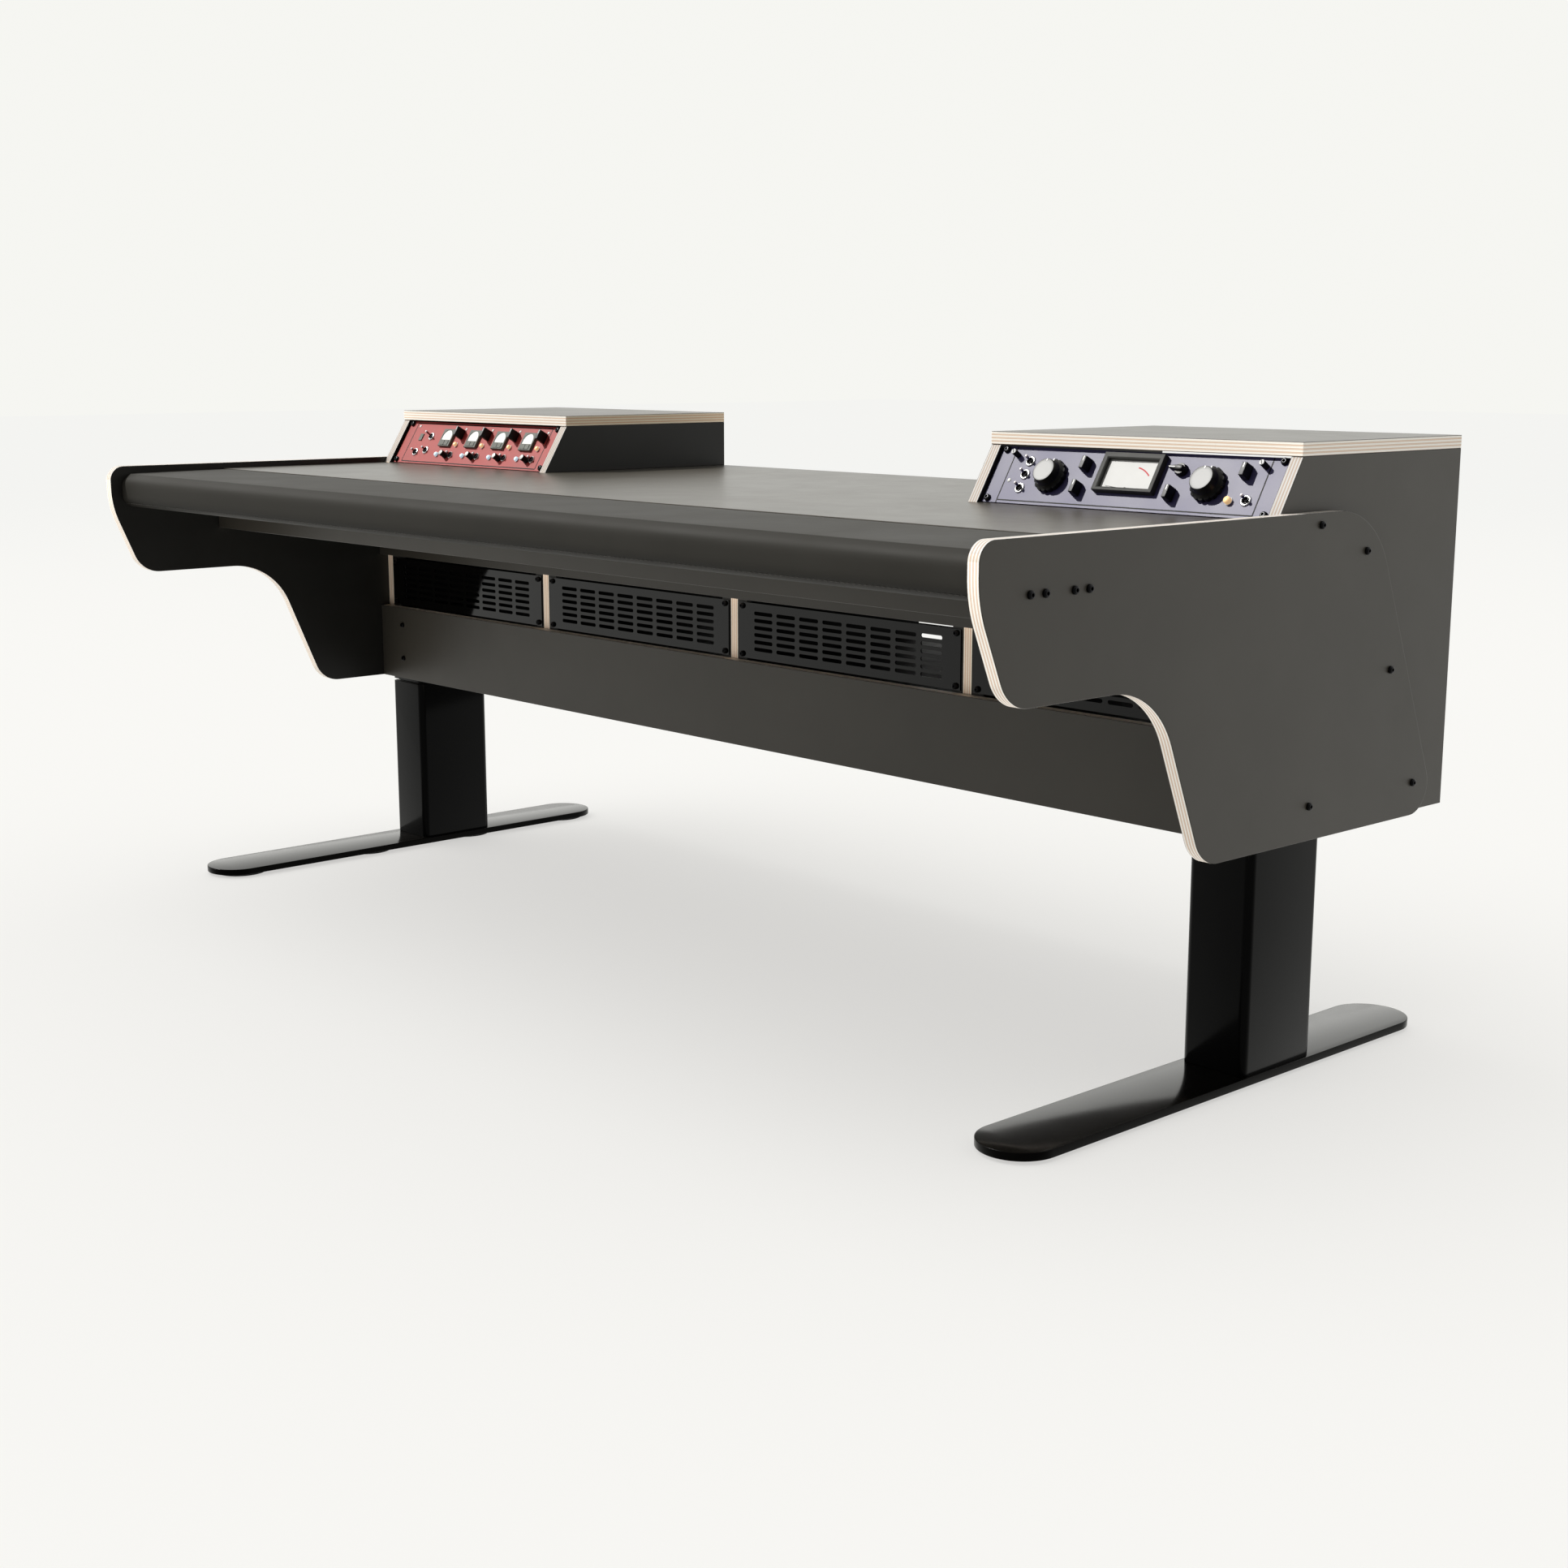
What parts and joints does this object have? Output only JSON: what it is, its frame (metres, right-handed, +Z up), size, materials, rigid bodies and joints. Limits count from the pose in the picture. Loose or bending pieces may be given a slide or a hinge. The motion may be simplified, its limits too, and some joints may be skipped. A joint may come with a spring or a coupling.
{
  "type": "studio desk",
  "caption": "Sit-stand studio desk in black laminated plywood with padded armrest, two sloped rack pods with fitted units, vented rack bays and telescopic steel legs.",
  "frame": {"origin": "on the floor, under the middle of the desk's overall width and depth", "axes": "+X to the user's right, +Y away from the user, +Z up"},
  "size_m": [2.095, 0.966, 0.8302],
  "materials": {
    "laminate_ply": "birch plywood with matte black laminate faces and clear lacquered edges",
    "worktop_laminate": "birch plywood with soft satin black laminate",
    "armrest_leather": "soft black upholstery, satin",
    "black_steel": "fine matte black powder coat",
    "leg_steel": "glossy black lacquer",
    "glide_rubber": "matte black",
    "drive_steel": "plain machined steel",
    "red_paint": "satin dusty red paint",
    "blue_paint": "satin blue grey paint",
    "black_plastic": "fine satin black",
    "knob_black": "moulded black plastic",
    "needle_black": "matte black",
    "dial_white": "printed white card",
    "amber_lens": "translucent jewel",
    "chrome": "polished chrome",
    "screw_black": "black oxide"
  },
  "bodies": {
    "feet": {"foot_plates": "leg_steel", "foot_glides": "glide_rubber", "columns_outer": "leg_steel"},
    "lift_stage": {"columns_middle": "leg_steel"},
    "desk": {"side_panel_left": "laminate_ply", "side_panel_right": "laminate_ply", "end_walls": "laminate_ply", "desktop": "worktop_laminate", "front_rail": "laminate_ply", "rear_apron": "laminate_ply", "modesty_panel": "laminate_ply", "base_board": "laminate_ply", "bay_floor": "laminate_ply", "bay_roof": "laminate_ply", "bay_dividers": "laminate_ply", "armrest_board": "laminate_ply", "armrest_pad": "armrest_leather", "vent_panels": "black_steel", "rack_rails": "black_steel", "pod_walls": "laminate_ply", "pod_lids": "laminate_ply", "red_unit_panel": "red_paint", "blue_unit_panel": "blue_paint", "unit_chassis": "black_steel", "meter_bezels": "black_plastic", "meter_dials": "dial_white", "lamps": "amber_lens", "switch_nuts": "chrome", "trim_posts": "black_plastic", "screws": "screw_black", "leg_brackets": "black_steel", "columns_inner": "leg_steel", "lift_drives": "drive_steel"},
    "blue_bar_knob_1": {"blue_bar_knob_1": "knob_black"},
    "blue_bar_knob_2": {"blue_bar_knob_2": "knob_black"},
    "blue_bar_knob_3": {"blue_bar_knob_3": "knob_black"},
    "blue_bar_knob_4": {"blue_bar_knob_4": "knob_black"},
    "blue_pointer_knob": {"blue_pointer_knob": "knob_black"},
    "blue_large_knob_1": {"blue_large_knob_1": "knob_black"},
    "blue_large_knob_2": {"blue_large_knob_2": "knob_black"},
    "blue_toggle_1": {"blue_toggle_1": "chrome"},
    "blue_toggle_2": {"blue_toggle_2": "chrome"},
    "blue_toggle_3": {"blue_toggle_3": "chrome"},
    "blue_toggle_4": {"blue_toggle_4": "chrome"},
    "blue_meter_needle": {"blue_meter_needle": "needle_black"},
    "red_slab_knob_1": {"red_slab_knob_1": "knob_black"},
    "red_slab_knob_2": {"red_slab_knob_2": "knob_black"},
    "red_slab_knob_3": {"red_slab_knob_3": "knob_black"},
    "red_slab_knob_4": {"red_slab_knob_4": "knob_black"},
    "red_round_knob_1": {"red_round_knob_1": "knob_black"},
    "red_round_knob_2": {"red_round_knob_2": "knob_black"},
    "red_round_knob_3": {"red_round_knob_3": "knob_black"},
    "red_round_knob_4": {"red_round_knob_4": "knob_black"},
    "red_channel_toggle_1": {"red_channel_toggle_1": "chrome"},
    "red_channel_toggle_2": {"red_channel_toggle_2": "chrome"},
    "red_channel_toggle_3": {"red_channel_toggle_3": "chrome"},
    "red_channel_toggle_4": {"red_channel_toggle_4": "chrome"},
    "red_left_toggle_1": {"red_left_toggle_1": "chrome"},
    "red_left_toggle_2": {"red_left_toggle_2": "chrome"},
    "red_left_toggle_3": {"red_left_toggle_3": "chrome"}
  },
  "joints": [
    {"name": "lift_lower", "type": "slide", "parent": "feet", "child": "lift_stage", "axis": [0, 0, 1], "range_m": [0, 0.2]},
    {"name": "lift_upper", "type": "slide", "parent": "lift_stage", "child": "desk", "axis": [0, 0, 1], "range_m": [0, 0.2]},
    {"name": "blue_bar_knob_1_turn", "type": "hinge", "parent": "desk", "child": "blue_bar_knob_1", "pos_m": [0.687, 0.11305, 0.78751], "axis": [0, -0.8512, 0.5249], "range_deg": [-150, 150]},
    {"name": "blue_bar_knob_2_turn", "type": "hinge", "parent": "desk", "child": "blue_bar_knob_2", "pos_m": [0.686, 0.09389, 0.75645], "axis": [0, -0.8512, 0.5249], "range_deg": [-150, 150]},
    {"name": "blue_bar_knob_3_turn", "type": "hinge", "parent": "desk", "child": "blue_bar_knob_3", "pos_m": [0.843, 0.094, 0.75662], "axis": [0, -0.8512, 0.5249], "range_deg": [-150, 150]},
    {"name": "blue_bar_knob_4_turn", "type": "hinge", "parent": "desk", "child": "blue_bar_knob_4", "pos_m": [0.9485, 0.11357, 0.78837], "axis": [0, -0.8512, 0.5249], "range_deg": [-150, 150]},
    {"name": "blue_pointer_knob_turn", "type": "hinge", "parent": "desk", "child": "blue_pointer_knob", "pos_m": [0.8455, 0.11331, 0.78794], "axis": [0, -0.8512, 0.5249], "range_deg": [-240, 60]},
    {"name": "blue_large_knob_1_turn", "type": "hinge", "parent": "desk", "child": "blue_large_knob_1", "pos_m": [0.6314, 0.10323, 0.7716], "axis": [0, -0.8512, 0.5249], "range_deg": [-150, 150]},
    {"name": "blue_large_knob_2_turn", "type": "hinge", "parent": "desk", "child": "blue_large_knob_2", "pos_m": [0.8966, 0.10323, 0.7716], "axis": [0, -0.8512, 0.5249], "range_deg": [-150, 150]},
    {"name": "blue_toggle_1_throw", "type": "hinge", "parent": "desk", "child": "blue_toggle_1", "pos_m": [0.582, 0.11504, 0.79075], "axis": [1, 0, 0], "range_deg": [0, 18]},
    {"name": "blue_toggle_2_throw", "type": "hinge", "parent": "desk", "child": "blue_toggle_2", "pos_m": [0.582, 0.10423, 0.77322], "axis": [1, 0, 0], "range_deg": [0, 18]},
    {"name": "blue_toggle_3_throw", "type": "hinge", "parent": "desk", "child": "blue_toggle_3", "pos_m": [0.582, 0.0931, 0.75517], "axis": [1, 0, 0], "range_deg": [0, 18]},
    {"name": "blue_toggle_4_throw", "type": "hinge", "parent": "desk", "child": "blue_toggle_4", "pos_m": [0.961, 0.09352, 0.75585], "axis": [1, 0, 0], "range_deg": [0, 18]},
    {"name": "blue_meter_needle_swing", "type": "hinge", "parent": "desk", "child": "blue_meter_needle", "pos_m": [0.767, 0.09259, 0.76195], "axis": [0, -0.8512, 0.5249], "range_deg": [-139, 0], "stiffness_Nm_per_rad": 0.002, "springref_deg": 11.46},
    {"name": "red_slab_knob_1_turn", "type": "hinge", "parent": "desk", "child": "red_slab_knob_1", "pos_m": [-0.8158, 0.11368, 0.78854], "axis": [0, -0.8512, 0.5249], "range_deg": [-150, 150]},
    {"name": "red_slab_knob_2_turn", "type": "hinge", "parent": "desk", "child": "red_slab_knob_2", "pos_m": [-0.7298, 0.11368, 0.78854], "axis": [0, -0.8512, 0.5249], "range_deg": [-150, 150]},
    {"name": "red_slab_knob_3_turn", "type": "hinge", "parent": "desk", "child": "red_slab_knob_3", "pos_m": [-0.6438, 0.11368, 0.78854], "axis": [0, -0.8512, 0.5249], "range_deg": [-150, 150]},
    {"name": "red_slab_knob_4_turn", "type": "hinge", "parent": "desk", "child": "red_slab_knob_4", "pos_m": [-0.5578, 0.11368, 0.78854], "axis": [0, -0.8512, 0.5249], "range_deg": [-150, 150]},
    {"name": "red_round_knob_1_turn", "type": "hinge", "parent": "desk", "child": "red_round_knob_1", "pos_m": [-0.8405, 0.09048, 0.75091], "axis": [0, -0.8512, 0.5249], "range_deg": [-150, 150]},
    {"name": "red_round_knob_2_turn", "type": "hinge", "parent": "desk", "child": "red_round_knob_2", "pos_m": [-0.7545, 0.09048, 0.75091], "axis": [0, -0.8512, 0.5249], "range_deg": [-150, 150]},
    {"name": "red_round_knob_3_turn", "type": "hinge", "parent": "desk", "child": "red_round_knob_3", "pos_m": [-0.6685, 0.09048, 0.75091], "axis": [0, -0.8512, 0.5249], "range_deg": [-150, 150]},
    {"name": "red_round_knob_4_turn", "type": "hinge", "parent": "desk", "child": "red_round_knob_4", "pos_m": [-0.5825, 0.09048, 0.75091], "axis": [0, -0.8512, 0.5249], "range_deg": [-150, 150]},
    {"name": "red_channel_toggle_1_throw", "type": "hinge", "parent": "desk", "child": "red_channel_toggle_1", "pos_m": [-0.827, 0.09169, 0.75287], "axis": [1, 0, 0], "range_deg": [0, 18]},
    {"name": "red_channel_toggle_2_throw", "type": "hinge", "parent": "desk", "child": "red_channel_toggle_2", "pos_m": [-0.741, 0.09169, 0.75287], "axis": [1, 0, 0], "range_deg": [0, 18]},
    {"name": "red_channel_toggle_3_throw", "type": "hinge", "parent": "desk", "child": "red_channel_toggle_3", "pos_m": [-0.655, 0.09169, 0.75287], "axis": [1, 0, 0], "range_deg": [0, 18]},
    {"name": "red_channel_toggle_4_throw", "type": "hinge", "parent": "desk", "child": "red_channel_toggle_4", "pos_m": [-0.569, 0.09169, 0.75287], "axis": [1, 0, 0], "range_deg": [0, 18]},
    {"name": "red_left_toggle_1_throw", "type": "hinge", "parent": "desk", "child": "red_left_toggle_1", "pos_m": [-0.9165, 0.11063, 0.7836], "axis": [1, 0, 0], "range_deg": [0, 18]},
    {"name": "red_left_toggle_2_throw", "type": "hinge", "parent": "desk", "child": "red_left_toggle_2", "pos_m": [-0.9465, 0.09268, 0.75449], "axis": [1, 0, 0], "range_deg": [0, 18]},
    {"name": "red_left_toggle_3_throw", "type": "hinge", "parent": "desk", "child": "red_left_toggle_3", "pos_m": [-0.915, 0.09526, 0.75866], "axis": [1, 0, 0], "range_deg": [0, 18]}
  ],
  "couplings": [
    {"joint": "lift_upper", "follows": "lift_lower", "ratio": 1}
  ]
}
